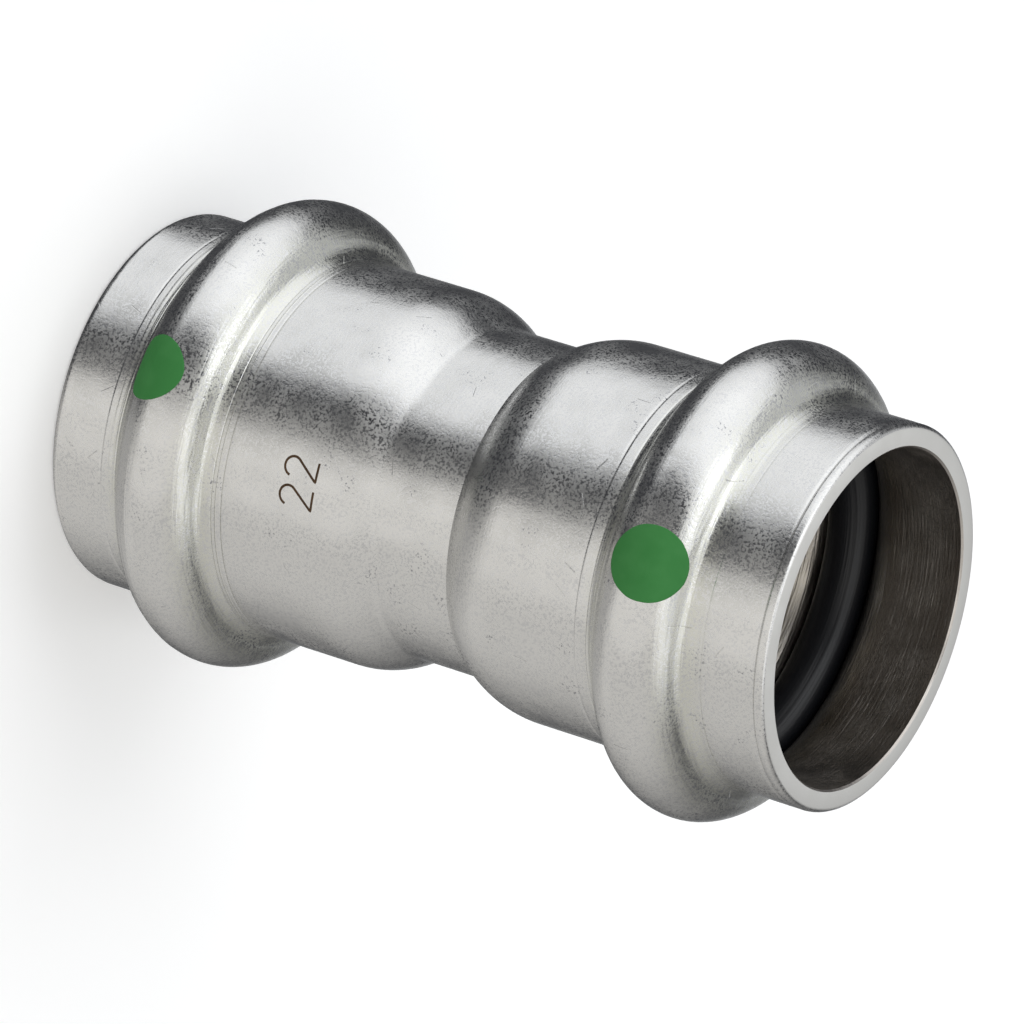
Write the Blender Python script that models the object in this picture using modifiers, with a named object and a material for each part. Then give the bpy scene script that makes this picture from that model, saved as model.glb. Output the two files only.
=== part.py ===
"""A press coupling that joins two 22 mm stainless steel pipes end to end.

It stands on one rim, with its axis along +Z and its origin at the centre of that rim.
Sizes are in metres. The formed tube is one wall of even thickness, so its shape is given
once, along the middle of that wall, and both skins are offset from there.
"""

import math

import bpy

# Pipe and wall
PIPE_RADIUS = 0.0110
PIPE_PLAY = 0.0002
WALL = 0.0014

# Stop in the middle, which keeps the two pipes apart: its bore stands in from the pipe's outside
STOP_STEP = 0.0014
WAIST_LENGTH = 0.0054
NECK_BEND = 0.0015
SHOULDER_BEND = 0.0053

# Sleeve between the stop and the bead, and pipe guide between the bead and the rim
SLEEVE_LENGTH = 0.00695
GUIDE_LENGTH = 0.00476

# Bead, the bulge that holds the seal ring
BEAD_HEIGHT = 0.0030
BEAD_CROWN_BEND = 0.0024
BEAD_FOOT_BEND = 0.0020

# Broken edges of the rims
RIM_OUTER_CHAMFER = 0.00022
RIM_INNER_CHAMFER = 0.00030

# Seal rings
SEAL_CORD_RADIUS = 0.00145
SEAL_SEAT_GAP = 0.0003

# Paint dots on the beads, pressed on square to the bead a little outwards of the crown
DOT_DIAMETER = 0.0048
DOT_TILT = math.radians(20.0)
DOT_THICKNESS = 0.00015
DOT_GAP = 0.0001
UPPER_DOT_AZIMUTH = math.radians(-87.0)
LOWER_DOT_AZIMUTH = math.radians(-96.5)

# Facets
TURN_STEPS = 48
SEAL_CORD_STEPS = 10
NECK_STEPS = 2
SHOULDER_STEPS = 4
FOOT_STEPS = 3
CROWN_STEPS = 4
DOT_FACET = math.radians(2.0)
DOT_RIM_STEPS = 40

# What follows from those sizes
BORE_RADIUS = PIPE_RADIUS + PIPE_PLAY
SLEEVE_MID_RADIUS = BORE_RADIUS + WALL / 2
WAIST_MID_RADIUS = PIPE_RADIUS - STOP_STEP + WALL / 2
CROWN_MID_RADIUS = SLEEVE_MID_RADIUS + BEAD_HEIGHT


def ogee_angle(rise, first_bend, second_bend):
    """The steepest slope of two tangent arcs that climb by rise and end level."""
    return math.acos(1 - rise / (first_bend + second_bend))


SHOULDER_SLOPE = ogee_angle(SLEEVE_MID_RADIUS - WAIST_MID_RADIUS, NECK_BEND, SHOULDER_BEND)
BEAD_SLOPE = ogee_angle(BEAD_HEIGHT, BEAD_FOOT_BEND, BEAD_CROWN_BEND)
SHOULDER_LENGTH = (NECK_BEND + SHOULDER_BEND) * math.sin(SHOULDER_SLOPE)
BEAD_LENGTH = 2 * (BEAD_FOOT_BEND + BEAD_CROWN_BEND) * math.sin(BEAD_SLOPE)
HALF_LENGTH = WAIST_LENGTH / 2 + SHOULDER_LENGTH + SLEEVE_LENGTH + BEAD_LENGTH + GUIDE_LENGTH
BEAD_OFFSET = HALF_LENGTH - GUIDE_LENGTH - BEAD_LENGTH / 2


class WallLine:
    """The middle of the wall as (height, radius, slope) points, laid like a bent wire."""

    def __init__(self, height, radius):
        self.points = [(height, radius, 0.0)]

    def straight(self, length):
        height, radius, slope = self.points[-1]
        self.points.append((height + length, radius, slope))

    def bend(self, slope, bend_radius, steps):
        height, radius, start = self.points[-1]
        turn = math.copysign(bend_radius, slope - start)
        for i in range(1, steps + 1):
            angle = start + (slope - start) * i / steps
            self.points.append(
                (
                    height + turn * (math.sin(angle) - math.sin(start)),
                    radius - turn * (math.cos(angle) - math.cos(start)),
                    angle,
                )
            )

    def bead(self):
        """Up one foot, over the crown and down the other foot."""
        self.bend(BEAD_SLOPE, BEAD_FOOT_BEND, FOOT_STEPS)
        self.bend(0.0, BEAD_CROWN_BEND, CROWN_STEPS)
        self.bend(-BEAD_SLOPE, BEAD_CROWN_BEND, CROWN_STEPS)
        self.bend(0.0, BEAD_FOOT_BEND, FOOT_STEPS)


def offset(points, distance):
    """(radius, height) of a skin that lies this far outside the middle of the wall."""
    return [(r + distance * math.cos(t), z - distance * math.sin(t)) for z, r, t in points]


def half_wall_line():
    """From the middle of the coupling, at height 0, up to the rim."""
    line = WallLine(0.0, WAIST_MID_RADIUS)
    line.straight(WAIST_LENGTH / 2)
    line.bend(SHOULDER_SLOPE, NECK_BEND, NECK_STEPS)
    line.bend(0.0, SHOULDER_BEND, SHOULDER_STEPS)
    line.straight(SLEEVE_LENGTH)
    line.bead()
    line.straight(GUIDE_LENGTH)
    return line.points


def body_section():
    """The closed section of the tube, down its outer side and up its bore."""
    upper = half_wall_line()
    lower = [(-z, r, -t) for z, r, t in upper[1:]]
    line = list(reversed(upper)) + lower
    outer = offset(line, WALL / 2)
    inner = offset(line, -WALL / 2)
    outer_radius, rim_height = outer[0]
    bore_radius = inner[0][0]
    outer[0] = (outer_radius, rim_height - RIM_OUTER_CHAMFER)
    outer[-1] = (outer_radius, -rim_height + RIM_OUTER_CHAMFER)
    inner[0] = (bore_radius, rim_height - RIM_INNER_CHAMFER)
    inner[-1] = (bore_radius, -rim_height + RIM_INNER_CHAMFER)
    flat_outer = outer_radius - RIM_OUTER_CHAMFER
    flat_inner = bore_radius + RIM_INNER_CHAMFER
    top_flat = [(flat_inner, rim_height), (flat_outer, rim_height)]
    bottom_flat = [(flat_outer, -rim_height), (flat_inner, -rim_height)]
    return top_flat + outer + bottom_flat + list(reversed(inner))


def clear_scene():
    for old in list(bpy.data.objects):
        bpy.data.objects.remove(old, do_unlink=True)


def new_collection(name):
    collection = bpy.data.collections.new(name)
    bpy.context.scene.collection.children.link(collection)
    return collection


def move_to(collection, item):
    for old in list(item.users_collection):
        old.objects.unlink(item)
    collection.objects.link(item)


def new_material(name, colour, roughness, metallic):
    material = bpy.data.materials.new(name)
    material.use_nodes = True
    shader = material.node_tree.nodes["Principled BSDF"]
    shader.inputs["Base Color"].default_value = (*colour, 1.0)
    shader.inputs["Roughness"].default_value = roughness
    shader.inputs["Metallic"].default_value = metallic
    material.diffuse_color = (*colour, 1.0)
    return material


def profile_object(name, collection, outline, closed):
    """A line of edges in the XZ plane, for a Screw modifier to turn."""
    mesh = bpy.data.meshes.new(name)
    points = [(radius, 0.0, height) for radius, height in outline]
    edges = [(i, i + 1) for i in range(len(points) - 1)]
    if closed:
        edges.append((len(points) - 1, 0))
    mesh.from_pydata(points, edges, [])
    item = bpy.data.objects.new(name, mesh)
    collection.objects.link(item)
    return item


def turn(item, steps, angle):
    """Turns a profile about its own Z axis."""
    screw = item.modifiers.new("turned", "SCREW")
    screw.axis = "Z"
    screw.angle = angle
    screw.steps = steps
    screw.render_steps = steps
    screw.use_merge_vertices = True
    screw.merge_threshold = 1e-6
    screw.use_smooth_shade = True
    return screw


def middle_point():
    """An empty at the middle of the coupling, which everything hangs from."""
    empty = bpy.data.objects.new("coupling_middle", None)
    empty.empty_display_size = BORE_RADIUS
    empty.location = (0.0, 0.0, HALF_LENGTH)
    bpy.context.scene.collection.objects.link(empty)
    return empty


def make_body(collection, middle, steel):
    """The tube: waist, shoulders, sleeves, beads and pipe guides, formed as one piece."""
    body = profile_object("coupling_body", collection, body_section(), closed=True)
    turn(body, TURN_STEPS, math.tau)
    body.data.materials.append(steel)
    body.parent = middle
    return body


def make_seal(name, collection, middle, side, rubber):
    """An O-ring that lies in the hollow of one bead and stands a little into the bore."""
    seat_radius = CROWN_MID_RADIUS - WALL / 2
    bpy.ops.mesh.primitive_torus_add(
        major_radius=seat_radius - SEAL_SEAT_GAP - SEAL_CORD_RADIUS,
        minor_radius=SEAL_CORD_RADIUS,
        major_segments=TURN_STEPS,
        minor_segments=SEAL_CORD_STEPS,
    )
    seal = bpy.context.active_object
    seal.name = name
    seal.data.name = name
    seal.data.shade_smooth()
    seal.data.materials.append(rubber)
    move_to(collection, seal)
    seal.parent = middle
    seal.location = (0.0, 0.0, side * BEAD_OFFSET)
    return seal


def dot_cutter(name, cutters, carrier, side):
    """A round bar from the middle of the crown's bend, out along the tilt of the dot."""
    reach = CROWN_MID_RADIUS + WALL
    bpy.ops.mesh.primitive_cylinder_add(
        radius=DOT_DIAMETER / 2,
        depth=reach,
        vertices=DOT_RIM_STEPS,
        rotation=(0.0, math.radians(90.0) - side * DOT_TILT, 0.0),
    )
    cutter = bpy.context.active_object
    cutter.name = name
    cutter.hide_render = True
    cutter.display_type = "WIRE"
    move_to(cutters, cutter)
    cutter.parent = carrier
    cutter.location = (CROWN_MID_RADIUS - BEAD_CROWN_BEND, 0.0, side * BEAD_OFFSET)
    return cutter


def make_dot(name, collection, cutters, middle, side, azimuth, paint):
    """A round patch of paint that follows the bead, cut from a thin skin over it."""
    carrier = bpy.data.objects.new(name + "_place", None)
    carrier.empty_display_size = DOT_DIAMETER
    carrier.rotation_euler = (0.0, 0.0, azimuth)
    carrier.parent = middle
    bpy.context.scene.collection.objects.link(carrier)

    line = WallLine(-BEAD_LENGTH / 2, SLEEVE_MID_RADIUS)
    line.bead()
    skin = offset(list(reversed(line.points)), WALL / 2 + DOT_GAP)
    dot = profile_object(name, collection, skin, closed=False)
    steps = 2 * math.ceil(DOT_DIAMETER / CROWN_MID_RADIUS / DOT_FACET)
    turn(dot, steps, steps * DOT_FACET)
    coat = dot.modifiers.new("coat", "SOLIDIFY")
    coat.thickness = DOT_THICKNESS
    coat.offset = 1.0
    round_cut = dot.modifiers.new("round", "BOOLEAN")
    round_cut.operation = "INTERSECT"
    round_cut.object = dot_cutter(name + "_cutter", cutters, carrier, side)
    dot.data.materials.append(paint)
    dot.parent = carrier
    dot.location = (0.0, 0.0, side * BEAD_OFFSET)
    dot.rotation_euler = (0.0, 0.0, -steps * DOT_FACET / 2)
    return dot


def main():
    clear_scene()
    parts = new_collection("press_coupling")
    cutters = new_collection("cutters")
    steel = new_material("stainless_steel", (0.58, 0.57, 0.54), 0.34, 1.0)
    rubber = new_material("black_rubber", (0.012, 0.012, 0.014), 0.42, 0.0)
    paint = new_material("green_paint", (0.048, 0.231, 0.060), 0.48, 0.0)

    middle = middle_point()
    make_body(parts, middle, steel)
    make_seal("upper_seal_ring", parts, middle, 1, rubber)
    make_seal("lower_seal_ring", parts, middle, -1, rubber)
    make_dot("upper_paint_dot", parts, cutters, middle, 1, UPPER_DOT_AZIMUTH, paint)
    make_dot("lower_paint_dot", parts, cutters, middle, -1, LOWER_DOT_AZIMUTH, paint)


main()
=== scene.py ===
"""The looks of a press coupling for 22 mm pipe: formed tube, seal rings, paint dots and size number."""

import math

import bpy
from mathutils import Matrix, Vector


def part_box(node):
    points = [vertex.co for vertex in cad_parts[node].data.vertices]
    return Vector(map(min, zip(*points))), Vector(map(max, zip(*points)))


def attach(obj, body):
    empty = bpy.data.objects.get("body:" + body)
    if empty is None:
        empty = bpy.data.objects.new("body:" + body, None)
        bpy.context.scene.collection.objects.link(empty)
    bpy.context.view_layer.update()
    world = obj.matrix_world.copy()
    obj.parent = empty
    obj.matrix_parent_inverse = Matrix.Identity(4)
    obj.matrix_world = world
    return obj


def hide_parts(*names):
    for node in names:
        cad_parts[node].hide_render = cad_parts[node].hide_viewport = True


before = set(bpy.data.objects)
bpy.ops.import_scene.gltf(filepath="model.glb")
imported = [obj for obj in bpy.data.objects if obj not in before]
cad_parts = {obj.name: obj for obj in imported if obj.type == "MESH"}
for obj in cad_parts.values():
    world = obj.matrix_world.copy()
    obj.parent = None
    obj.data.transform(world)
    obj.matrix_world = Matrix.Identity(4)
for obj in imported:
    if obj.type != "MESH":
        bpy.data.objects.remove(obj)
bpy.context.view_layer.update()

# The tube. The real one is a short length of stainless steel pipe, pressed outwards by water in a die,
# so it is one wall of even thickness and every corner of it is a bend. The die leaves fine rings at the
# feet of the beads, and tumbling leaves the outside satin, with a mottled grain and a few scratches.
MM = 0.001
WALL = 1.4 * MM
BORE_RADIUS = 11.2 * MM
WAIST_LENGTH = 5.4 * MM
WAIST_STEP = 1.6 * MM
UPPER_NECK_BEND = 0.5 * MM
LOWER_NECK_BEND = 1.6 * MM
SHOULDER_BENDS = 6.8 * MM
SLEEVE_LENGTH = 6.95 * MM
GUIDE_LENGTH = 4.76 * MM
BEAD_HEIGHT = 3.0 * MM
BEAD_CROWN_BEND = 2.4 * MM
BEAD_FOOT_BEND = 2.0 * MM
UPPER_RIM_ROUND = 0.36 * MM
LOWER_RIM_ROUND = 0.50 * MM
MOUTH_CHAMFER = 0.12 * MM
MOUTH_BURR = 0.12 * MM
BURR_LENGTH = 0.8 * MM
TUBE_WAVINESS = 0.025 * MM
WAVE_LENGTH = 7.0 * MM

# How finely the tube is divided, where points support its edges and which edges are shaded sharp
STRAIGHT_STEP = 0.6 * MM
NECK_STEPS = 8
SHOULDER_STEPS = 14
FOOT_STEPS = 12
CROWN_STEPS = 14
RING_STEPS = 4
RIM_STEPS = 5
RIM_SUPPORT = 1.2
BURR_SUPPORT = 1.1
TURN_STEPS = 256
SHARP_ANGLE = math.radians(35.0)

# Rings that the die leaves on each half: distance from the middle, depth (negative stands proud) and width
UPPER_RINGS = (
    (13.25 * MM, 0.050 * MM, 0.09 * MM),
    (14.20 * MM, 0.045 * MM, 0.09 * MM),
    (14.90 * MM, -0.020 * MM, 0.12 * MM),
    (16.30 * MM, 0.018 * MM, 0.08 * MM),
    (21.75 * MM, -0.020 * MM, 0.07 * MM),
    (22.60 * MM, 0.014 * MM, 0.06 * MM),
    (26.42 * MM, 0.090 * MM, 0.10 * MM),
)
LOWER_RINGS = (
    (13.70 * MM, 0.030 * MM, 0.06 * MM),
    (14.10 * MM, -0.022 * MM, 0.06 * MM),
    (14.60 * MM, 0.035 * MM, 0.06 * MM),
    (18.95 * MM, -0.014 * MM, 0.07 * MM),
    (19.45 * MM, 0.018 * MM, 0.08 * MM),
    (20.35 * MM, -0.020 * MM, 0.14 * MM),
    (21.20 * MM, 0.040 * MM, 0.09 * MM),
    (21.75 * MM, 0.035 * MM, 0.07 * MM),
    (22.45 * MM, -0.020 * MM, 0.10 * MM),
    (23.15 * MM, 0.035 * MM, 0.08 * MM),
)

tube_low, tube_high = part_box("coupling_body")
HALF_LENGTH = (tube_high.z - tube_low.z) / 2
MIDDLE = (tube_high.z + tube_low.z) / 2
SLEEVE_RADIUS = BORE_RADIUS + WALL
BEAD_SLOPE = math.acos(1 - BEAD_HEIGHT / (BEAD_FOOT_BEND + BEAD_CROWN_BEND))
BEAD_CROWN = HALF_LENGTH - GUIDE_LENGTH - (BEAD_FOOT_BEND + BEAD_CROWN_BEND) * math.sin(BEAD_SLOPE)


def wall_line(neck_bend):
    """The middle of the wall from the waist to the rim, as (distance along, radius, slope) points."""
    mid_radius = BORE_RADIUS + WALL / 2
    points = [(0.0, mid_radius - WAIST_STEP, 0.0)]

    def straight(length):
        height, radius, slope = points[-1]
        steps = math.ceil(length / STRAIGHT_STEP)
        for i in range(1, steps + 1):
            points.append((height + length * i / steps, radius, slope))

    def bend(slope, bend_radius, steps):
        height, radius, start = points[-1]
        turn = math.copysign(bend_radius, slope - start)
        for i in range(1, steps + 1):
            angle = start + (slope - start) * i / steps
            along = turn * (math.sin(angle) - math.sin(start))
            out = turn * (math.cos(start) - math.cos(angle))
            points.append((height + along, radius + out, angle))

    shoulder_slope = math.acos(1 - WAIST_STEP / SHOULDER_BENDS)
    straight(WAIST_LENGTH / 2)
    bend(shoulder_slope, neck_bend, NECK_STEPS)
    bend(0.0, SHOULDER_BENDS - neck_bend, SHOULDER_STEPS)
    straight(SLEEVE_LENGTH)
    bend(BEAD_SLOPE, BEAD_FOOT_BEND, FOOT_STEPS)
    bend(0.0, BEAD_CROWN_BEND, CROWN_STEPS)
    bend(-BEAD_SLOPE, BEAD_CROWN_BEND, CROWN_STEPS)
    bend(0.0, BEAD_FOOT_BEND, FOOT_STEPS)
    straight(GUIDE_LENGTH)
    return points


def with_rings(points, rings):
    """More points on the wall line where a die ring crosses it."""
    refined = [points[0]]
    for before, after in zip(points, points[1:]):
        extra = []
        for place, depth, width in rings:
            for k in range(-RING_STEPS, RING_STEPS + 1):
                height = place + k * width / 2
                if before[0] < height < after[0]:
                    share = (height - before[0]) / (after[0] - before[0])
                    extra.append(tuple(a + (b - a) * share for a, b in zip(before, after)))
        refined += sorted(extra)
        refined.append(after)
    return refined


def ring_depth(height, rings):
    """How deep the die rings cut the outside of the tube at this distance from its middle."""
    return sum(depth * math.exp(-(((height - place) / width) ** 2)) for place, depth, width in rings)


def half_skins(neck_bend, rings, rim_round):
    """The outer and inner skin of one half, from its middle to its rim, as (radius, distance) points."""
    line = wall_line(neck_bend)
    outer = []
    for height, radius, slope in with_rings(line, rings):
        lift = WALL / 2 - ring_depth(height, rings)
        outer.append((radius + lift * math.cos(slope), height - lift * math.sin(slope)))
    inner = [
        (radius - WALL / 2 * math.cos(slope), height + WALL / 2 * math.sin(slope))
        for height, radius, slope in line[::2] + line[-1:]
    ]
    outer[-1] = (SLEEVE_RADIUS, HALF_LENGTH - rim_round * RIM_SUPPORT)
    for i in range(RIM_STEPS + 1):
        angle = math.pi / 2 * i / RIM_STEPS
        radius = SLEEVE_RADIUS - rim_round * (1 - math.cos(angle))
        outer.append((radius, HALF_LENGTH - rim_round * (1 - math.sin(angle))))
    inner = [point for point in inner if point[1] < HALF_LENGTH - BURR_LENGTH * BURR_SUPPORT]
    inner.append((BORE_RADIUS, HALF_LENGTH - BURR_LENGTH))
    inner.append((BORE_RADIUS - MOUTH_BURR, HALF_LENGTH - MOUTH_CHAMFER))
    inner.append((BORE_RADIUS - MOUTH_BURR + MOUTH_CHAMFER, HALF_LENGTH))
    return outer, inner


def tube_section():
    """The closed section of the whole wall, down the outside and up the bore."""
    upper_outer, upper_inner = half_skins(UPPER_NECK_BEND, UPPER_RINGS, UPPER_RIM_ROUND)
    lower_outer, lower_inner = half_skins(LOWER_NECK_BEND, LOWER_RINGS, LOWER_RIM_ROUND)
    outer = upper_outer[::-1] + [(radius, -height) for radius, height in lower_outer[1:]]
    inner = [(radius, -height) for radius, height in lower_inner[::-1]] + upper_inner[1:]
    return outer + inner


def add_node(tree, kind, inputs=None, **settings):
    """A node with its settings and its input values or links. Inputs are given by name or number."""
    node = tree.nodes.new(kind)
    for name, value in settings.items():
        setattr(node, name, value)
    for key, value in (inputs or {}).items():
        socket = node.inputs[key]
        if isinstance(value, bpy.types.NodeSocket):
            tree.links.new(value, socket)
        else:
            socket.default_value = value
    return node


def new_tree(name, kind, inputs, outputs):
    """An empty node group. Inputs and outputs are (name, socket type, value or None)."""
    tree = bpy.data.node_groups.new(name, kind)
    for direction, sockets in (("INPUT", inputs), ("OUTPUT", outputs)):
        for socket_name, socket_type, value in sockets:
            socket = tree.interface.new_socket(socket_name, in_out=direction, socket_type=socket_type)
            if value is not None:
                socket.default_value = value
    return tree, tree.nodes.new("NodeGroupInput"), tree.nodes.new("NodeGroupOutput")


# A face is the bore's where its normal points outwards by less than the first of these, and a rim's where
# its normal points along the axis by more than the second.
BORE_FACING = -0.1
RIM_FACING = 0.97


def tube_tree():
    """Geometry Nodes that turn a section round the axis and give the wall the waviness of a real one."""
    tree, given, result = new_tree(
        "turned_tube",
        "GeometryNodeTree",
        [
            ("Section", "NodeSocketGeometry", None),
            ("Steps", "NodeSocketInt", TURN_STEPS),
            ("Turning Radius", "NodeSocketFloat", SLEEVE_RADIUS),
            ("Waviness", "NodeSocketFloat", TUBE_WAVINESS),
            ("Wave Length", "NodeSocketFloat", WAVE_LENGTH),
            ("Outside", "NodeSocketMaterial", None),
            ("Bore", "NodeSocketMaterial", None),
            ("Rim", "NodeSocketMaterial", None),
        ],
        [("Tube", "NodeSocketGeometry", None)],
    )
    circle = add_node(
        tree,
        "GeometryNodeCurvePrimitiveCircle",
        {"Resolution": given.outputs["Steps"], "Radius": given.outputs["Turning Radius"]},
        mode="RADIUS",
    )
    swept = add_node(
        tree,
        "GeometryNodeCurveToMesh",
        {"Curve": circle.outputs["Curve"], "Profile Curve": given.outputs["Section"]},
    )
    place = add_node(tree, "GeometryNodeInputPosition")
    normal = add_node(tree, "GeometryNodeInputNormal")
    scaled = add_node(
        tree,
        "ShaderNodeVectorMath",
        {0: place.outputs["Position"], 1: given.outputs["Wave Length"]},
        operation="DIVIDE",
    )
    noise = add_node(
        tree,
        "ShaderNodeTexNoise",
        {"Vector": scaled.outputs["Vector"], "Scale": 1.0, "Detail": 2.0, "Roughness": 0.4},
    )
    centred = add_node(tree, "ShaderNodeMath", {0: noise.outputs["Fac"], 1: 0.5}, operation="SUBTRACT")
    amount = add_node(
        tree,
        "ShaderNodeMath",
        {0: centred.outputs["Value"], 1: given.outputs["Waviness"]},
        operation="MULTIPLY",
    )
    push = add_node(
        tree,
        "ShaderNodeVectorMath",
        {0: normal.outputs["Normal"], "Scale": amount.outputs["Value"]},
        operation="SCALE",
    )
    waved = add_node(
        tree,
        "GeometryNodeSetPosition",
        {"Geometry": swept.outputs["Mesh"], "Offset": push.outputs["Vector"]},
    )
    flattened = add_node(
        tree,
        "ShaderNodeVectorMath",
        {0: place.outputs["Position"], 1: (1.0, 1.0, 0.0)},
        operation="MULTIPLY",
    )
    away = add_node(tree, "ShaderNodeVectorMath", {0: flattened.outputs["Vector"]}, operation="NORMALIZE")
    aspect = add_node(
        tree,
        "ShaderNodeVectorMath",
        {0: normal.outputs["Normal"], 1: away.outputs["Vector"]},
        operation="DOT_PRODUCT",
    )
    inside = add_node(
        tree,
        "FunctionNodeCompare",
        {0: aspect.outputs["Value"], 1: BORE_FACING},
        operation="LESS_THAN",
    )
    real = add_node(tree, "GeometryNodeRealizeInstances", {"Geometry": waved.outputs["Geometry"]})
    dressed = add_node(
        tree,
        "GeometryNodeSetMaterial",
        {"Geometry": real.outputs["Geometry"], "Material": given.outputs["Outside"]},
    )
    lined = add_node(
        tree,
        "GeometryNodeSetMaterial",
        {
            "Geometry": dressed.outputs["Geometry"],
            "Selection": inside.outputs["Result"],
            "Material": given.outputs["Bore"],
        },
    )
    axes = add_node(tree, "ShaderNodeSeparateXYZ", {"Vector": normal.outputs["Normal"]})
    level = add_node(tree, "ShaderNodeMath", {0: axes.outputs["Z"]}, operation="ABSOLUTE")
    flat = add_node(
        tree,
        "FunctionNodeCompare",
        {0: level.outputs["Value"], 1: RIM_FACING},
        operation="GREATER_THAN",
    )
    trimmed = add_node(
        tree,
        "GeometryNodeSetMaterial",
        {
            "Geometry": lined.outputs["Geometry"],
            "Selection": flat.outputs["Result"],
            "Material": given.outputs["Rim"],
        },
    )
    tree.links.new(trimmed.outputs["Geometry"], result.inputs["Tube"])
    return tree


def poly_curve(name, points, cyclic):
    """A curve of straight edges through these points."""
    curve = bpy.data.curves.new(name, "CURVE")
    curve.dimensions = "3D"
    spline = curve.splines.new("POLY")
    spline.points.add(len(points) - 1)
    for point, place in zip(spline.points, points):
        point.co = (*place, 1.0)
    spline.use_cyclic_u = cyclic
    item = bpy.data.objects.new(name, curve)
    bpy.context.scene.collection.objects.link(item)
    return item


def set_inputs(modifier, values):
    """Gives a Geometry Nodes modifier its values, each by its socket's identifier."""
    for socket in modifier.node_group.interface.items_tree:
        if socket.item_type == "SOCKET" and socket.in_out == "INPUT" and socket.name in values:
            modifier[socket.identifier] = values[socket.name]


def grown(name, source, tree, values):
    """The plain mesh that a Geometry Nodes tree makes from a source object, which is then removed."""
    modifier = source.modifiers.new("grow", "NODES")
    modifier.node_group = tree
    set_inputs(modifier, values)
    bpy.context.view_layer.update()
    graph = bpy.context.evaluated_depsgraph_get()
    mesh = bpy.data.meshes.new_from_object(source.evaluated_get(graph), depsgraph=graph)
    source.modifiers.remove(modifier)
    bpy.data.objects.remove(source, do_unlink=True)
    mesh.name = name
    piece = bpy.data.objects.new(name, mesh)
    bpy.context.scene.collection.objects.link(piece)
    return piece


def declare(piece, slot, *nodes):
    """The piece moves with the part and stands for these solids. The slot is not used."""
    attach(piece, "root")
    if nodes:
        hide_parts(*nodes)


def noise_of(tree, place, size, detail, roughness):
    """A noise value over a place vector, with grains of about this size."""
    sized = add_node(tree, "ShaderNodeVectorMath", {0: place, 1: size}, operation="DIVIDE")
    noise = add_node(
        tree,
        "ShaderNodeTexNoise",
        {"Vector": sized.outputs["Vector"], "Scale": 1.0, "Detail": detail, "Roughness": roughness},
    )
    return noise.outputs["Fac"]


def ramp(tree, value, start, end, low=0.0, high=1.0):
    """A smooth step of a value, from low at the start to high at the end."""
    node = add_node(
        tree,
        "ShaderNodeMapRange",
        {"Value": value, "From Min": start, "From Max": end, "To Min": low, "To Max": high},
        interpolation_type="SMOOTHSTEP",
    )
    return node.outputs["Result"]


def calc(tree, operation, *values):
    """One step of arithmetic."""
    node = add_node(tree, "ShaderNodeMath", dict(enumerate(values)), operation=operation)
    return node.outputs["Value"]


# Where the noise of the grain turns into specks and pits, and that of the patches into clusters and ground
SPECK_RANGE = (0.51, 0.40)
PIT_RANGE = (0.42, 0.34)
CLUSTER_RANGE = (0.60, 0.70)
GROUND_RANGE = (0.30, 0.70)


def grain_group():
    """The grain that tumbling leaves: a height, masks of glossy specks and clustered pits, and patches."""
    tree, given, result = new_tree(
        "tumbled_grain",
        "ShaderNodeTree",
        [("Grain Size", "NodeSocketFloat", 0.2 * MM), ("Patch Size", "NodeSocketFloat", 2.5 * MM)],
        [
            ("Height", "NodeSocketFloat", None),
            ("Specks", "NodeSocketFloat", None),
            ("Pits", "NodeSocketFloat", None),
            ("Patches", "NodeSocketFloat", None),
        ],
    )
    place = add_node(tree, "ShaderNodeTexCoord").outputs["Object"]
    fine = noise_of(tree, place, given.outputs["Grain Size"], 2.0, 0.75)
    patches = noise_of(tree, place, given.outputs["Patch Size"], 2.0, 0.5)
    specks = ramp(tree, fine, *SPECK_RANGE)
    clusters = ramp(tree, patches, *CLUSTER_RANGE)
    pits = calc(tree, "MULTIPLY", ramp(tree, fine, *PIT_RANGE), clusters)
    tree.links.new(fine, result.inputs["Height"])
    tree.links.new(specks, result.inputs["Specks"])
    tree.links.new(pits, result.inputs["Pits"])
    tree.links.new(patches, result.inputs["Patches"])
    return tree


def streak_group():
    """Fine rings round the axis, as the die and the polishing leave them, with a limited length."""
    tree, given, result = new_tree(
        "ring_streaks",
        "ShaderNodeTree",
        [("Width", "NodeSocketFloat", 0.15 * MM), ("Length", "NodeSocketFloat", 4.0 * MM)],
        [("Height", "NodeSocketFloat", None)],
    )
    place = add_node(tree, "ShaderNodeTexCoord").outputs["Object"]
    size = add_node(
        tree,
        "ShaderNodeCombineXYZ",
        {"X": given.outputs["Length"], "Y": given.outputs["Length"], "Z": given.outputs["Width"]},
    )
    tree.links.new(noise_of(tree, place, size.outputs["Vector"], 1.0, 0.5), result.inputs["Height"])
    return tree


# A scratch's cell is a length on the surface, and its own length and width are shares of that cell
SCRATCH_CELL = 3.0 * MM
SCRATCH_LENGTH = 0.16
SCRATCH_WIDTH = 0.013


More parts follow.
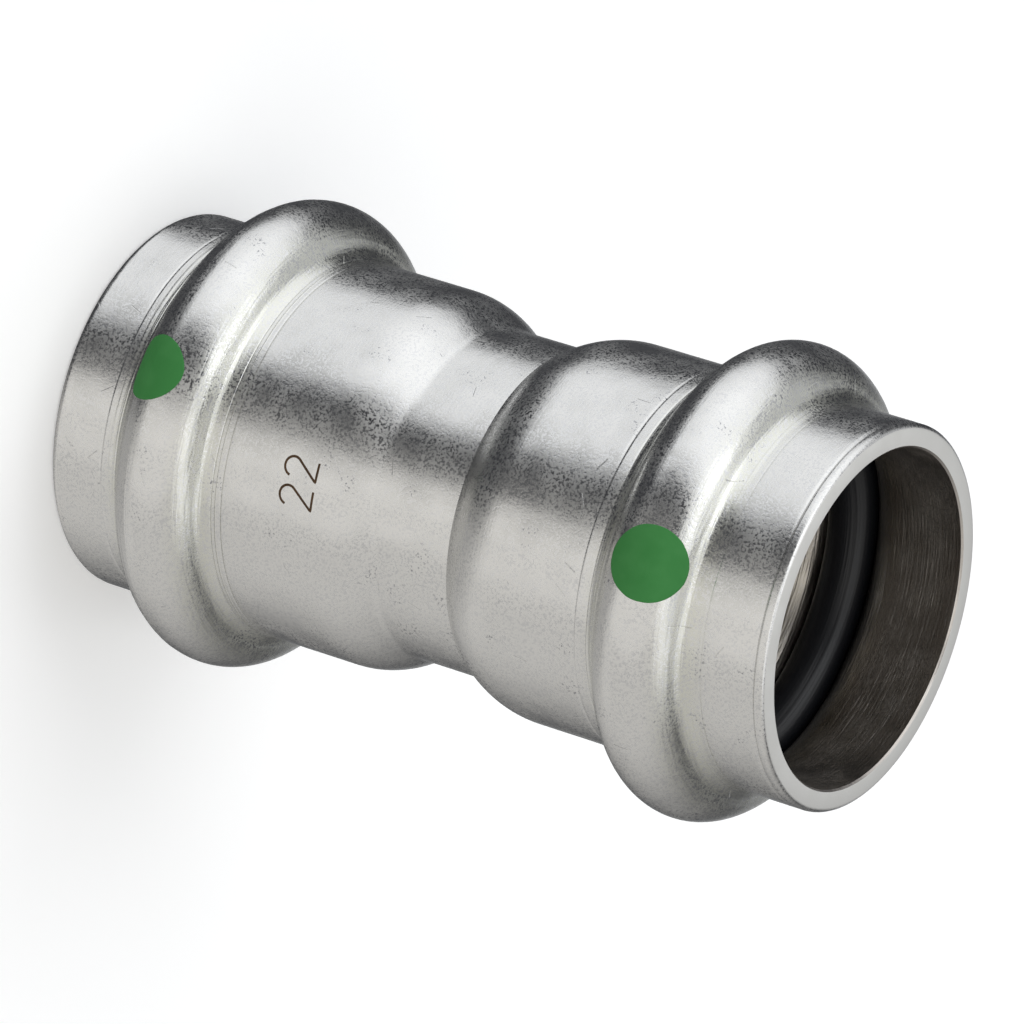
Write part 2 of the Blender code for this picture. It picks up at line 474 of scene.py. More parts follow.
def scratch_group():
    """Sparse short scratches, each in a cell of its own on the unrolled surface, as a mask."""
    tree, given, result = new_tree(
        "scratches",
        "ShaderNodeTree",
        [
            ("Radius", "NodeSocketFloat", SLEEVE_RADIUS),
            ("Cell Size", "NodeSocketFloat", SCRATCH_CELL),
            ("Length", "NodeSocketFloat", SCRATCH_LENGTH),
            ("Width", "NodeSocketFloat", SCRATCH_WIDTH),
            ("Share", "NodeSocketFloat", 0.3),
        ],
        [("Mask", "NodeSocketFloat", None)],
    )
    place = add_node(tree, "ShaderNodeTexCoord").outputs["Object"]
    axes = add_node(tree, "ShaderNodeSeparateXYZ", {"Vector": place})
    front = calc(tree, "MULTIPLY", axes.outputs["Y"], -1.0)
    angle = calc(tree, "ARCTAN2", axes.outputs["X"], front)
    around = calc(tree, "MULTIPLY", angle, given.outputs["Radius"])
    flat = add_node(tree, "ShaderNodeCombineXYZ", {"X": around, "Y": axes.outputs["Z"]})
    sized = add_node(
        tree,
        "ShaderNodeVectorMath",
        {0: flat.outputs["Vector"], 1: given.outputs["Cell Size"]},
        operation="DIVIDE",
    )
    cells = add_node(
        tree,
        "ShaderNodeTexVoronoi",
        {"Vector": sized.outputs["Vector"], "Scale": 1.0},
        voronoi_dimensions="2D",
    )
    chance = add_node(tree, "ShaderNodeSeparateColor", {"Color": cells.outputs["Color"]})
    local = add_node(
        tree,
        "ShaderNodeVectorMath",
        {0: sized.outputs["Vector"], 1: cells.outputs["Position"]},
        operation="SUBTRACT",
    )
    heading = calc(tree, "MULTIPLY", chance.outputs["Red"], math.tau)
    spun = add_node(
        tree,
        "ShaderNodeVectorRotate",
        {"Vector": local.outputs["Vector"], "Angle": heading},
        rotation_type="Z_AXIS",
    )
    line = add_node(tree, "ShaderNodeSeparateXYZ", {"Vector": spun.outputs["Vector"]})
    along = calc(tree, "ABSOLUTE", line.outputs["X"])
    across = calc(tree, "ABSOLUTE", line.outputs["Y"])
    short = calc(tree, "LESS_THAN", along, given.outputs["Length"])
    narrow = ramp(tree, across, given.outputs["Width"], 0.0)
    chosen = calc(tree, "LESS_THAN", chance.outputs["Green"], given.outputs["Share"])
    mask = calc(tree, "MULTIPLY", calc(tree, "MULTIPLY", short, narrow), chosen)
    tree.links.new(mask, result.inputs["Mask"])
    return tree


def film_group():
    """The thin film that stays in the foot of a bead, as a mask by the distance from the tube's middle."""
    tree, given, result = new_tree(
        "foot_film",
        "ShaderNodeTree",
        [
            ("Middle", "NodeSocketFloat", MIDDLE),
            ("Distance", "NodeSocketFloat", 20.0 * MM),
            ("Half Width", "NodeSocketFloat", 1.0 * MM),
        ],
        [("Mask", "NodeSocketFloat", None)],
    )
    place = add_node(tree, "ShaderNodeTexCoord").outputs["Object"]
    height = add_node(tree, "ShaderNodeSeparateXYZ", {"Vector": place}).outputs["Z"]
    away = calc(tree, "ABSOLUTE", calc(tree, "SUBTRACT", height, given.outputs["Middle"]))
    apart = calc(tree, "ABSOLUTE", calc(tree, "SUBTRACT", away, given.outputs["Distance"]))
    tree.links.new(ramp(tree, apart, given.outputs["Half Width"], 0.0), result.inputs["Mask"])
    return tree


def new_material(name, colour, roughness, metallic):
    """A material with one Principled BSDF, and that shader."""
    material = bpy.data.materials.new(name)
    material.use_nodes = True
    shader = material.node_tree.nodes["Principled BSDF"]
    shader.inputs["Base Color"].default_value = (*colour, 1.0)
    shader.inputs["Roughness"].default_value = roughness
    shader.inputs["Metallic"].default_value = metallic
    return material, shader


def use_group(tree, group, inputs):
    """A node that places a node group, with its own values."""
    node = tree.nodes.new("ShaderNodeGroup")
    node.node_tree = group
    for key, value in inputs.items():
        node.inputs[key].default_value = value
    return node


def blend(tree, share, low, high):
    """A colour between two, by a mask."""
    node = add_node(tree, "ShaderNodeMix", {"Factor": share}, data_type="RGBA")
    for socket, value in ((node.inputs[6], low), (node.inputs[7], high)):
        if isinstance(value, bpy.types.NodeSocket):
            tree.links.new(value, socket)
        else:
            socket.default_value = (*value, 1.0)
    return node.outputs[2]


def bump(tree, height, distance, normal=None):
    """A normal tilted by a height over this distance, on top of another."""
    inputs = {"Height": height, "Distance": distance, "Strength": 1.0}
    if normal:
        inputs["Normal"] = normal
    return add_node(tree, "ShaderNodeBump", inputs).outputs["Normal"]


grain = grain_group()
streaks = streak_group()
scratches = scratch_group()
film = film_group()
GRAIN_SIZE = 0.18 * MM
PATCH_SIZE = 2.4 * MM
PATCH_RELIEF = 4.0
GROUND_SPREAD = 0.20
STREAK_WIDTH = 0.13 * MM
STREAK_LENGTH = 2.6 * MM
SCRATCH_DEPTH = 0.012 * MM
FILM_TINT = (0.90, 0.91, 0.82)
FILM_STRENGTH = 0.7
FILM_HALF_WIDTH = 1.7 * MM
DRAWN_RELIEF = 0.022 * MM
RIM_FOOT = BEAD_CROWN + 3.2 * MM
SLEEVE_FOOT = BEAD_CROWN - 3.0 * MM


def satin_steel(name, colour, speck_colour, pit_colour, rough, glossy, relief, ring_relief, scratch_share):
    """Tumbled stainless steel: glossy specks in a rougher ground, so only dark reflections look grainy."""
    material, shader = new_material(name, colour, rough, 1.0)
    tree = material.node_tree
    tumbled = use_group(tree, grain, {"Grain Size": GRAIN_SIZE, "Patch Size": PATCH_SIZE})
    rings = use_group(tree, streaks, {"Width": STREAK_WIDTH, "Length": STREAK_LENGTH})
    scratched = use_group(tree, scratches, {"Share": scratch_share})
    rim_film = use_group(tree, film, {"Distance": RIM_FOOT, "Half Width": FILM_HALF_WIDTH})
    sleeve_film = use_group(tree, film, {"Distance": SLEEVE_FOOT, "Half Width": FILM_HALF_WIDTH})
    filmed = calc(tree, "MAXIMUM", rim_film.outputs["Mask"], sleeve_film.outputs["Mask"])
    tint = tuple(part * share for part, share in zip(colour, FILM_TINT))
    tinted = blend(tree, calc(tree, "MULTIPLY", filmed, FILM_STRENGTH), colour, tint)
    specked = blend(tree, tumbled.outputs["Specks"], tinted, speck_colour)
    pitted = blend(tree, tumbled.outputs["Pits"], specked, pit_colour)
    tree.links.new(pitted, shader.inputs["Base Color"])
    smoothest = rough * (1 - GROUND_SPREAD)
    roughest = rough * (1 + GROUND_SPREAD)
    ground = ramp(tree, tumbled.outputs["Patches"], *GROUND_RANGE, smoothest, roughest)
    finish = add_node(
        tree,
        "ShaderNodeMix",
        {"Factor": tumbled.outputs["Specks"], "A": ground, "B": glossy},
        data_type="FLOAT",
    )
    tree.links.new(finish.outputs["Result"], shader.inputs["Roughness"])
    normal = bump(tree, tumbled.outputs["Patches"], relief * PATCH_RELIEF)
    normal = bump(tree, rings.outputs["Height"], ring_relief, normal)
    drawn = calc(tree, "MULTIPLY", rings.outputs["Height"], filmed)
    normal = bump(tree, drawn, DRAWN_RELIEF, normal)
    normal = bump(tree, tumbled.outputs["Height"], relief, normal)
    dents = calc(tree, "MULTIPLY", scratched.outputs["Mask"], -1.0)
    normal = bump(tree, dents, SCRATCH_DEPTH, normal)
    tree.links.new(normal, shader.inputs["Normal"])
    return material


RIM_SPREAD = 0.15
RIM_RELIEF = 0.006 * MM


def cut_steel(name, colour, rough):
    """The sawn and brushed face of a rim: plain, with a faint grain."""
    material, shader = new_material(name, colour, rough, 1.0)
    tree = material.node_tree
    tumbled = use_group(tree, grain, {"Grain Size": 0.25 * MM, "Patch Size": 2.0 * MM})
    smoothest = rough * (1 - RIM_SPREAD)
    roughest = rough * (1 + RIM_SPREAD)
    uneven = ramp(tree, tumbled.outputs["Patches"], *GROUND_RANGE, smoothest, roughest)
    tree.links.new(uneven, shader.inputs["Roughness"])
    tree.links.new(bump(tree, tumbled.outputs["Height"], RIM_RELIEF), shader.inputs["Normal"])
    return material


outside_steel = satin_steel(
    "satin_steel",
    colour=(0.67, 0.665, 0.65),
    speck_colour=(0.58, 0.58, 0.58),
    pit_colour=(0.22, 0.22, 0.23),
    rough=0.31,
    glossy=0.09,
    relief=0.010 * MM,
    ring_relief=0.006 * MM,
    scratch_share=0.2,
)
# The bore's steel is rougher than the outside, as it is not tumbled. Its darker, browner colour is painted
# shade of the dark inside of the tube.
shaded_bore_steel = satin_steel(
    "shaded_bore_steel",
    colour=(0.52, 0.485, 0.45),
    speck_colour=(0.48, 0.45, 0.42),
    pit_colour=(0.44, 0.41, 0.38),
    rough=0.36,
    glossy=0.30,
    relief=0.006 * MM,
    ring_relief=0.035 * MM,
    scratch_share=0.0,
)
rim_steel = cut_steel("rim_steel", (0.68, 0.67, 0.64), 0.38)
turned_tube = tube_tree()


def turned(name, points, height, radius, waviness, outside, bore, rim):
    """A piece turned round the axis from (radius, height) points, which are taken from this height up."""
    section = [(r - radius, -z, 0.0) for r, z in points]
    piece = grown(
        name,
        poly_curve(name + "_section", section, True),
        turned_tube,
        {
            "Steps": TURN_STEPS,
            "Turning Radius": radius,
            "Waviness": waviness,
            "Wave Length": WAVE_LENGTH,
            "Outside": outside,
            "Bore": bore,
            "Rim": rim,
        },
    )
    piece.data.transform(Matrix.Translation((0.0, 0.0, height)))
    piece.data.shade_smooth()
    piece.data.set_sharp_from_angle(angle=SHARP_ANGLE)
    return piece


tube = turned(
    "formed_tube",
    tube_section(),
    MIDDLE,
    SLEEVE_RADIUS,
    TUBE_WAVINESS,
    outside=outside_steel,
    bore=shaded_bore_steel,
    rim=rim_steel,
)
declare(tube, "stainless_steel", "coupling_body")

# The seal rings. Each is a moulded ring of black rubber in the hollow of its bead, just clear of the steel.
# The mould leaves a fine flash line round it, and silicone a soft shine.
SEAL_CENTRE_RADIUS = 12.45 * MM
SEAL_CORD_RADIUS = 1.62 * MM
SEAL_WAVINESS = 0.03 * MM
SEAL_STEPS = 96
FLASH_HEIGHT = 0.05 * MM
FLASH_WIDTH = math.radians(3.0)
FLASH_ANGLE = math.radians(140.0)
SEAL_RELIEF = 0.004 * MM
SEAL_RING_RELIEF = 0.02 * MM


def seal_section():
    """A round cord with the mould's flash on both sides, as (radius, height) points."""
    points = []
    for i in range(SEAL_STEPS):
        angle = math.tau * i / SEAL_STEPS
        off = min(abs(angle - FLASH_ANGLE), abs(angle - FLASH_ANGLE - math.pi))
        cord = SEAL_CORD_RADIUS + FLASH_HEIGHT * math.exp(-((off / FLASH_WIDTH) ** 2))
        points.append((SEAL_CENTRE_RADIUS + cord * math.cos(angle), cord * math.sin(angle)))
    return points[::-1]


def seal_rubber():
    """Semi-matt black rubber with a fine moulded grain."""
    material, shader = new_material("seal_rubber", (0.010, 0.011, 0.014), 0.40, 0.0)
    shader.inputs["Specular IOR Level"].default_value = 0.45
    tree = material.node_tree
    moulded = use_group(tree, grain, {"Grain Size": 0.3 * MM, "Patch Size": 3.0 * MM})
    rings = use_group(tree, streaks, {"Width": 0.12 * MM, "Length": 6.0 * MM})
    normal = bump(tree, moulded.outputs["Height"], SEAL_RELIEF)
    normal = bump(tree, rings.outputs["Height"], SEAL_RING_RELIEF, normal)
    tree.links.new(normal, shader.inputs["Normal"])
    return material


rubber = seal_rubber()
for side, sign in (("upper", 1.0), ("lower", -1.0)):
    seal = turned(
        side + "_seal",
        seal_section(),
        MIDDLE + sign * BEAD_CROWN,
        SEAL_CENTRE_RADIUS,
        SEAL_WAVINESS,
        outside=rubber,
        bore=rubber,
        rim=rubber,
    )
    declare(seal, "black_rubber", side + "_seal_ring")

# The paint dots. Each is one dab of flat green paint, pressed on the bead by a round felt pad. The paint
# takes the shape of the bead, and its edge is a little uneven.
DOT_LIFT = 0.025 * MM
DOT_UNEVENNESS = 0.04
THIN_RANGE = (0.35, 0.75)
PAINT_RELIEF = 0.003 * MM
PAD_START = 15.0 * MM
PRESS_TILT = math.radians(20.0)

# Each dot: its bead, its diameter, its azimuth from the front and the side of the middle that it is on
DOTS = (
    ("upper", 4.85 * MM, math.radians(3.0), 1.0),
    ("lower", 4.40 * MM, math.radians(-6.5), -1.0),
)


def landing_group():
    """Where a point that moves along a direction meets the tube, and how the tube faces there."""
    tree, given, result = new_tree(
        "landing_on_tube",
        "GeometryNodeTree",
        [
            ("Tube", "NodeSocketObject", None),
            ("From", "NodeSocketVector", None),
            ("Direction", "NodeSocketVector", None),
        ],
        [("Place", "NodeSocketVector", None), ("Normal", "NodeSocketVector", None)],
    )
    tube_mesh = add_node(
        tree, "GeometryNodeObjectInfo", {"Object": given.outputs["Tube"]}, transform_space="ORIGINAL"
    )
    cast = add_node(
        tree,
        "GeometryNodeRaycast",
        {
            "Target Geometry": tube_mesh.outputs["Geometry"],
            "Source Position": given.outputs["From"],
            "Ray Direction": given.outputs["Direction"],
            "Ray Length": 1.0,
        },
    )
    tree.links.new(cast.outputs["Hit Position"], result.inputs["Place"])
    tree.links.new(cast.outputs["Hit Normal"], result.inputs["Normal"])
    return tree


landing = landing_group()


def dab_tree():
    """Geometry Nodes for a dab of paint: a round film that is laid on the tube along a direction."""
    tree, given, result = new_tree(
        "paint_dab",
        "GeometryNodeTree",
        [
            ("Tube", "NodeSocketObject", None),
            ("Radius", "NodeSocketFloat", None),
            ("Start", "NodeSocketVector", None),
            ("Turn", "NodeSocketVector", None),
            ("Lift", "NodeSocketFloat", DOT_LIFT),
            ("Unevenness", "NodeSocketFloat", DOT_UNEVENNESS),
            ("Seed", "NodeSocketFloat", 0.0),
            ("Paint", "NodeSocketMaterial", None),
        ],
        [("Dab", "NodeSocketGeometry", None)],
    )
    disc = add_node(
        tree,
        "GeometryNodeMeshCone",
        {
            "Vertices": 96,
            "Side Segments": 28,
            "Radius Top": 0.0,
            "Radius Bottom": given.outputs["Radius"],
            "Depth": 0.0,
        },
        fill_type="NONE",
    )
    place = add_node(tree, "GeometryNodeInputPosition").outputs["Position"]
    outwards = add_node(tree, "ShaderNodeVectorMath", {0: place}, operation="NORMALIZE")
    wander = add_node(
        tree,
        "ShaderNodeTexNoise",
        {"Vector": outwards.outputs["Vector"], "W": given.outputs["Seed"], "Scale": 2.5, "Detail": 3.0},
        noise_dimensions="4D",
    )
    centred = calc(tree, "SUBTRACT", wander.outputs["Fac"], 0.5)
    grow = calc(tree, "MULTIPLY_ADD", centred, given.outputs["Unevenness"], 1.0)
    rough = add_node(tree, "ShaderNodeVectorMath", {0: place, "Scale": grow}, operation="SCALE")
    uneven = add_node(
        tree,
        "GeometryNodeSetPosition",
        {"Geometry": disc.outputs["Mesh"], "Position": rough.outputs["Vector"]},
    )
    aimed = add_node(
        tree,
        "GeometryNodeTransform",
        {
            "Geometry": uneven.outputs["Geometry"],
            "Translation": given.outputs["Start"],
            "Rotation": given.outputs["Turn"],
        },
    )
    forward = add_node(
        tree,
        "ShaderNodeVectorRotate",
        {"Vector": (0.0, 0.0, -1.0), "Rotation": given.outputs["Turn"]},
        rotation_type="EULER_XYZ",
    )
    landed = tree.nodes.new("GeometryNodeGroup")
    landed.node_tree = landing
    tree.links.new(given.outputs["Tube"], landed.inputs["Tube"])
    tree.links.new(place, landed.inputs["From"])
    tree.links.new(forward.outputs["Vector"], landed.inputs["Direction"])
    sink = calc(tree, "MULTIPLY", given.outputs["Lift"], -1.0)
    below = add_node(
        tree, "ShaderNodeVectorMath", {0: landed.outputs["Normal"], "Scale": sink}, operation="SCALE"
    )
    laid = add_node(
        tree,
        "GeometryNodeSetPosition",
        {
            "Geometry": aimed.outputs["Geometry"],
            "Position": landed.outputs["Place"],
            "Offset": below.outputs["Vector"],
        },
    )
    thickness = calc(tree, "MULTIPLY", given.outputs["Lift"], 2.0)
    thick = add_node(
        tree,
        "GeometryNodeExtrudeMesh",
        {"Mesh": laid.outputs["Geometry"], "Offset Scale": thickness, "Individual": False},
    )
    real = add_node(tree, "GeometryNodeRealizeInstances", {"Geometry": thick.outputs["Mesh"]})
    painted = add_node(
        tree,
        "GeometryNodeSetMaterial",
        {"Geometry": real.outputs["Geometry"], "Material": given.outputs["Paint"]},
    )
    tree.links.new(painted.outputs["Geometry"], result.inputs["Dab"])
    return tree


def dot_paint():
    """Flat green paint, a little thinner in places."""
    material, shader = new_material("dot_paint", (0.048, 0.215, 0.058), 0.75, 0.0)
    shader.inputs["Specular IOR Level"].default_value = 0.12
    tree = material.node_tree
    dabbed = use_group(tree, grain, {"Grain Size": 0.25 * MM, "Patch Size": 1.6 * MM})
    thin = ramp(tree, dabbed.outputs["Patches"], *THIN_RANGE)
    colour = blend(tree, thin, (0.046, 0.212, 0.056), (0.056, 0.232, 0.066))
    tree.links.new(colour, shader.inputs["Base Color"])
    tree.links.new(bump(tree, dabbed.outputs["Height"], PAINT_RELIEF), shader.inputs["Normal"])
    return material


def outward(azimuth, slope):
    """The direction that points away from the axis at this azimuth from the front, raised by a slope."""
    level = math.cos(slope)
    return Vector((level * math.sin(azimuth), -level * math.cos(azimuth), math.sin(slope)))


paint = dot_paint()
paint_dab = dab_tree()
crown_centre = SLEEVE_RADIUS + BEAD_HEIGHT - BEAD_CROWN_BEND - WALL / 2
for side, diameter, dot_azimuth, sign in DOTS:
    away = outward(dot_azimuth, sign * PRESS_TILT)
    crown_height = Vector((0.0, 0.0, MIDDLE + sign * BEAD_CROWN))
    bend_centre = outward(dot_azimuth, 0.0) * crown_centre + crown_height
    pad = bpy.data.objects.new(side + "_pad", bpy.data.meshes.new(side + "_pad"))
    bpy.context.scene.collection.objects.link(pad)
    dab = grown(
        side + "_dab",
        pad,
        paint_dab,
        {
            "Tube": tube,
            "Radius": diameter / 2,
            "Start": bend_centre + away * PAD_START,
            "Turn": away.to_track_quat("Z", "Y").to_euler(),
            "Seed": sign,
            "Paint": paint,
        },
    )
    dab.data.shade_smooth()
    declare(dab, "green_paint", side + "_paint_dot")

# The size number. A laser has burnt it into the lower sleeve in thin dark brown lines, and it is read with
# the coupling lying down.
MARK_DISTANCE = -8.1 * MM
MARK_AZIMUTH = math.radians(11.6)
DIGIT_HEIGHT = 2.45 * MM
DIGIT_WIDTH = 1.25 * MM
DIGIT_GAP = 0.62 * MM
ARC_START = 165.0
ARC_SWEEP = 205.0
ARC_STEPS = 16
LINE_RADIUS = 0.16 * MM
LINE_PROUD = 0.028 * MM
LINE_STEP = 0.06 * MM
LASER_START = 5.0 * MM


def digit_two():
    """The strokes of a figure 2 as points, with its foot at height 0 and both sides at half its width."""
    radius = DIGIT_WIDTH / 2
    points = []
    for i in range(ARC_STEPS + 1):
        angle = math.radians(ARC_START - ARC_SWEEP * i / ARC_STEPS)
        points.append((radius * math.cos(angle), DIGIT_HEIGHT - radius + radius * math.sin(angle)))
    points.append((-radius, 0.0))
    points.append((radius, 0.0))
    return points


def line_tree():
    """Geometry Nodes for a burnt line: strokes land on the tube and sink in, all but a film."""
    tree, given, result = new_tree(
        "burnt_line",
        "GeometryNodeTree",
        [
            ("Strokes", "NodeSocketGeometry", None),
            ("Tube", "NodeSocketObject", None),
            ("Direction", "NodeSocketVector", None),
            ("Step", "NodeSocketFloat", LINE_STEP),
            ("Line Radius", "NodeSocketFloat", LINE_RADIUS),
            ("Proud", "NodeSocketFloat", LINE_PROUD),
            ("Burn", "NodeSocketMaterial", None),
        ],
        [("Line", "NodeSocketGeometry", None)],
    )
    fine = add_node(
        tree,
        "GeometryNodeResampleCurve",
        {"Curve": given.outputs["Strokes"], "Length": given.outputs["Step"]},
        mode="LENGTH",
    )
    place = add_node(tree, "GeometryNodeInputPosition").outputs["Position"]
    landed = tree.nodes.new("GeometryNodeGroup")
    landed.node_tree = landing
    tree.links.new(given.outputs["Tube"], landed.inputs["Tube"])
    tree.links.new(place, landed.inputs["From"])
    tree.links.new(given.outputs["Direction"], landed.inputs["Direction"])
    depth = calc(tree, "SUBTRACT", given.outputs["Proud"], given.outputs["Line Radius"])
    below = add_node(
        tree, "ShaderNodeVectorMath", {0: landed.outputs["Normal"], "Scale": depth}, operation="SCALE"
    )
    laid = add_node(
        tree,
        "GeometryNodeSetPosition",
        {
            "Geometry": fine.outputs["Curve"],
            "Position": landed.outputs["Place"],
            "Offset": below.outputs["Vector"],
        },
    )
    round_tip = add_node(
        tree,
        "GeometryNodeCurvePrimitiveCircle",
        {"Resolution": 16, "Radius": given.outputs["Line Radius"]},
        mode="RADIUS",
    )
    line = add_node(
        tree,
        "GeometryNodeCurveToMesh",
        {"Curve": laid.outputs["Geometry"], "Profile Curve": round_tip.outputs["Curve"], "Fill Caps": True},
    )
    real = add_node(tree, "GeometryNodeRealizeInstances", {"Geometry": line.outputs["Mesh"]})
    burnt = add_node(
        tree,
        "GeometryNodeSetMaterial",
        {"Geometry": real.outputs["Geometry"], "Material": given.outputs["Burn"]},
    )
    tree.links.new(burnt.outputs["Geometry"], result.inputs["Line"])
    return tree


def burnt_oxide():
    """The dark brown oxide that a laser leaves."""
    material, shader = new_material("burnt_oxide", (0.070, 0.040, 0.020), 0.7, 0.0)
    shader.inputs["Specular IOR Level"].default_value = 0.2
    tree = material.node_tree
    burnt = use_group(tree, grain, {"Grain Size": 0.15 * MM, "Patch Size": 0.8 * MM})
    colour = blend(tree, burnt.outputs["Patches"], (0.035, 0.021, 0.013), (0.120, 0.068, 0.032))
    tree.links.new(colour, shader.inputs["Base Color"])
    return material


oxide = burnt_oxide()
burnt_line = line_tree()
facing = outward(MARK_AZIMUTH, 0.0)
reading = facing.cross(Vector((0.0, 0.0, 1.0)))
foot_line = Vector((0.0, 0.0, MIDDLE + MARK_DISTANCE + DIGIT_HEIGHT / 2))
for i in range(2):
    shift = (i - 0.5) * (DIGIT_WIDTH + DIGIT_GAP)
    origin = facing * (SLEEVE_RADIUS + LASER_START) + foot_line
    strokes = [origin + reading * (x + shift) + Vector((0.0, 0.0, -y)) for x, y in digit_two()]
    digit = grown(
        "size_digit_" + str(i + 1),
        poly_curve("digit_strokes", strokes, False),
        burnt_line,
        {"Tube": tube, "Direction": -facing, "Burn": oxide},
    )
    digit.data.shade_smooth()
    declare(digit, "stainless_steel")

# The camera, at the photograph's angle. It looks down at the standing coupling and is rolled on its side.
CAMERA_DISTANCE = 540.35 * MM
CAMERA_ELEVATION = math.radians(29.61)
CAMERA_ROLL = math.radians(107.35)
CAMERA_AIM = Vector((0.27 * MM, 0.0, MIDDLE + 0.33 * MM))
CAMERA_LENS = 297.4
SENSOR_WIDTH = 36.0

camera_data = bpy.data.cameras.new("camera")
camera_data.lens = CAMERA_LENS
camera_data.sensor_width = SENSOR_WIDTH
camera_data.clip_start = 0.05
camera_data.clip_end = 20.0
camera = bpy.data.objects.new("camera", camera_data)
bpy.context.scene.collection.objects.link(camera)
backwards = Vector((0.0, -math.cos(CAMERA_ELEVATION), math.sin(CAMERA_ELEVATION)))
camera.matrix_world = (
    Matrix.Translation(CAMERA_AIM + backwards * CAMERA_DISTANCE)
    @ Matrix.Rotation(math.pi / 2 - CAMERA_ELEVATION, 4, "X")
    @ Matrix.Rotation(CAMERA_ROLL, 4, "Z")
)
bpy.context.scene.camera = camera

# The floor, a plain white sheet that keeps the shadow. Only the camera sees it, so that the steel reflects
# the lights instead.
FLOOR_RADIUS = 6.0
FLOOR_DROP = 0.02 * MM
FLOOR_LIFT = 0.20

bpy.ops.mesh.primitive_circle_add(radius=FLOOR_RADIUS, vertices=64, fill_type="NGON")
floor = bpy.context.active_object
floor.name = "floor"
floor.location.z = -FLOOR_DROP
floor.visible_glossy = False
floor.visible_diffuse = False
floor.visible_shadow = False
floor_paper, floor_shader = new_material("floor_paper", (0.95, 0.95, 0.95), 0.9, 0.0)
floor_shader.inputs["Specular IOR Level"].default_value = 0.0
floor_shader.inputs["Emission Color"].default_value = (1.0, 1.0, 1.0, 1.0)
floor_shader.inputs["Emission Strength"].default_value = FLOOR_LIFT
floor.data.materials.append(floor_paper)


def softbox_group():
    """One soft light: a patch of the world with soft edges, placed by its angles in degrees."""
    tree, given, result = new_tree(
        "softbox",
        "ShaderNodeTree",
        [
            ("Azimuth", "NodeSocketFloat", None),
            ("Elevation", "NodeSocketFloat", None),
            ("Centre Azimuth", "NodeSocketFloat", 0.0),
            ("Half Width", "NodeSocketFloat", 30.0),
            ("Width Fade", "NodeSocketFloat", 10.0),
            ("Centre Elevation", "NodeSocketFloat", 0.0),
            ("Half Height", "NodeSocketFloat", 30.0),
            ("Height Fade", "NodeSocketFloat", 10.0),
            ("Strength", "NodeSocketFloat", 1.0),
            ("Colour", "NodeSocketColor", (1.0, 1.0, 1.0, 1.0)),
        ],
        [("Light", "NodeSocketColor", None)],
    )

    def patch(angle, centre, half, fade):
        away = calc(tree, "SUBTRACT", given.outputs[angle], given.outputs[centre])
        apart = calc(tree, "ABSOLUTE", calc(tree, "WRAP", away, 180.0, -180.0))
        inner = calc(tree, "SUBTRACT", given.outputs[half], given.outputs[fade])
        outer = calc(tree, "ADD", given.outputs[half], given.outputs[fade])
        return ramp(tree, apart, outer, inner)

    wide = patch("Azimuth", "Centre Azimuth", "Half Width", "Width Fade")
    high = patch("Elevation", "Centre Elevation", "Half Height", "Height Fade")
    level = calc(tree, "MULTIPLY", calc(tree, "MULTIPLY", wide, high), given.outputs["Strength"])
    light = add_node(
        tree,
        "ShaderNodeVectorMath",
        {0: given.outputs["Colour"], "Scale": level},
        operation="SCALE",
    )
    tree.links.new(light.outputs["Vector"], result.inputs["Light"])
    return tree


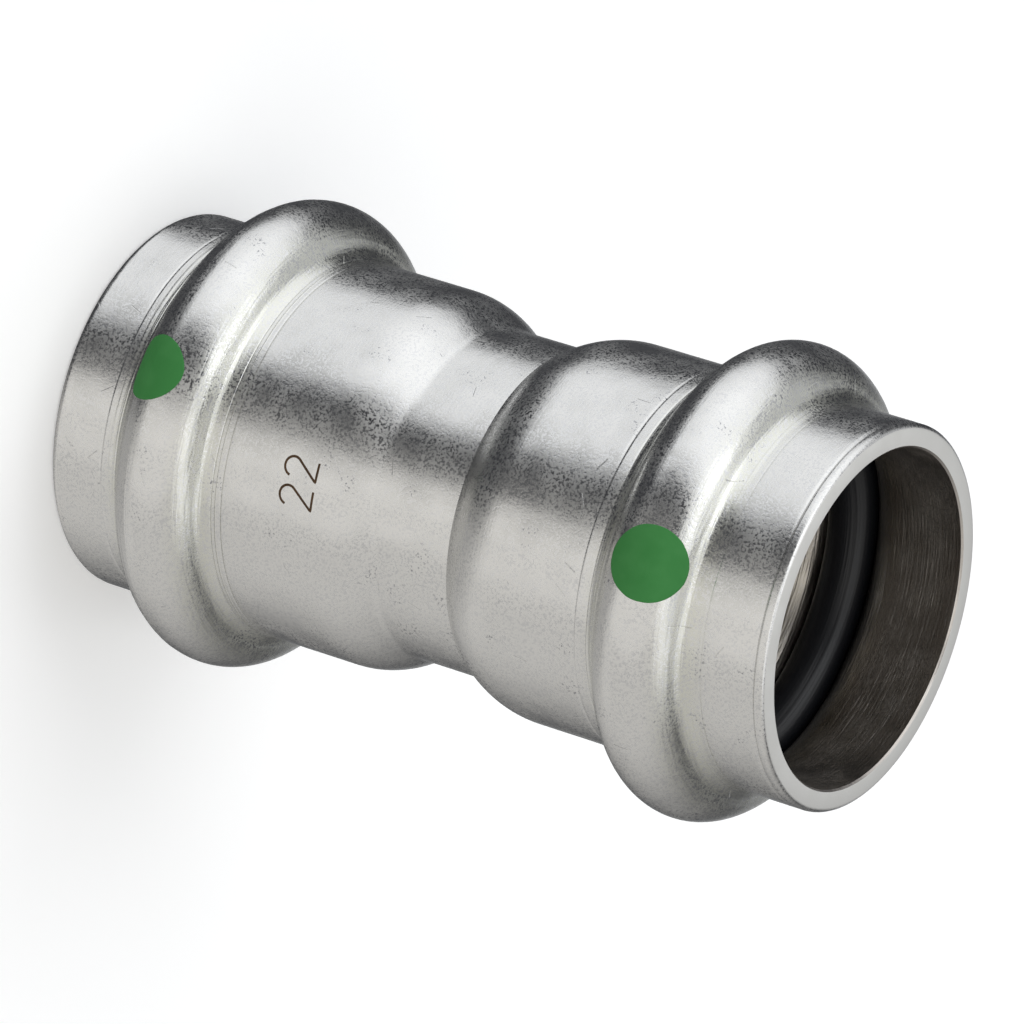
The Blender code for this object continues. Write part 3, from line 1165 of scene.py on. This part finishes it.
# The lights: soft boxes round the object, as patches of the world. Azimuth 0 is the photographer's side
# and 90 is +X. Each has its centre azimuth, half width, fade, centre elevation, half height, fade,
# strength and colour.
COOL = (0.985, 1.0, 1.015, 1.0)
WARM = (1.02, 1.0, 0.96, 1.0)
SOFTBOXES = {
    "main": (-74.0, 37.0, 9.0, 22.0, 64.0, 6.0, 1.10, COOL),
    "main core": (-68.0, 28.0, 16.0, 34.0, 45.0, 25.0, 0.30, COOL),
    "left high": (-146.0, 42.0, 12.0, 56.0, 30.0, 12.0, 0.60, COOL),
    "fill": (22.0, 24.0, 5.0, 14.0, 62.0, 10.0, 0.26, WARM),
    "fill core": (10.0, 12.0, 5.0, 14.0, 62.0, 10.0, 0.30, WARM),
    "fill end": (68.0, 60.0, 44.0, 12.0, 62.0, 16.0, 0.64, WARM),
    "top": (0.0, 180.0, 1.0, 90.0, 30.0, 10.0, 0.80, COOL),
    "back": (180.0, 16.0, 6.0, 22.0, 50.0, 10.0, 0.42, COOL),
    "low": (95.0, 75.0, 25.0, -68.0, 24.0, 12.0, 0.42, WARM),
}
AMBIENT = (0.062, 0.064, 0.070)

world = bpy.data.worlds.new("studio")
bpy.context.scene.world = world
world.use_nodes = True
sky = world.node_tree
sky.nodes.clear()
directions = add_node(sky, "ShaderNodeTexCoord")
parts = add_node(sky, "ShaderNodeSeparateXYZ", {"Vector": directions.outputs["Generated"]})
towards = add_node(sky, "ShaderNodeMath", {0: parts.outputs["Y"], 1: -1.0}, operation="MULTIPLY")
bearing = add_node(
    sky, "ShaderNodeMath", {0: parts.outputs["X"], 1: towards.outputs["Value"]}, operation="ARCTAN2"
)
azimuth = add_node(sky, "ShaderNodeMath", {0: bearing.outputs["Value"]}, operation="DEGREES")
raised = add_node(sky, "ShaderNodeMath", {0: parts.outputs["Z"]}, operation="ARCSINE")
elevation = add_node(sky, "ShaderNodeMath", {0: raised.outputs["Value"]}, operation="DEGREES")
softbox = softbox_group()
total = AMBIENT
for name, values in SOFTBOXES.items():
    box = sky.nodes.new("ShaderNodeGroup")
    box.node_tree = softbox
    box.label = name
    sky.links.new(azimuth.outputs["Value"], box.inputs["Azimuth"])
    sky.links.new(elevation.outputs["Value"], box.inputs["Elevation"])
    for socket, value in zip(box.inputs[2:], values):
        socket.default_value = value
    summed = add_node(sky, "ShaderNodeVectorMath", {0: total, 1: box.outputs["Light"]}, operation="ADD")
    total = summed.outputs["Vector"]
lit = add_node(sky, "ShaderNodeBackground", {"Color": total, "Strength": 1.0})
white = add_node(sky, "ShaderNodeBackground", {"Color": (1.0, 1.0, 1.0, 1.0), "Strength": 1.0})
path = add_node(sky, "ShaderNodeLightPath")
seen = add_node(
    sky,
    "ShaderNodeMixShader",
    {0: path.outputs["Is Camera Ray"], 1: lit.outputs["Background"], 2: white.outputs["Background"]},
)
add_node(sky, "ShaderNodeOutputWorld", {"Surface": seen.outputs["Shader"]})

bpy.context.scene.view_settings.view_transform = "Standard"
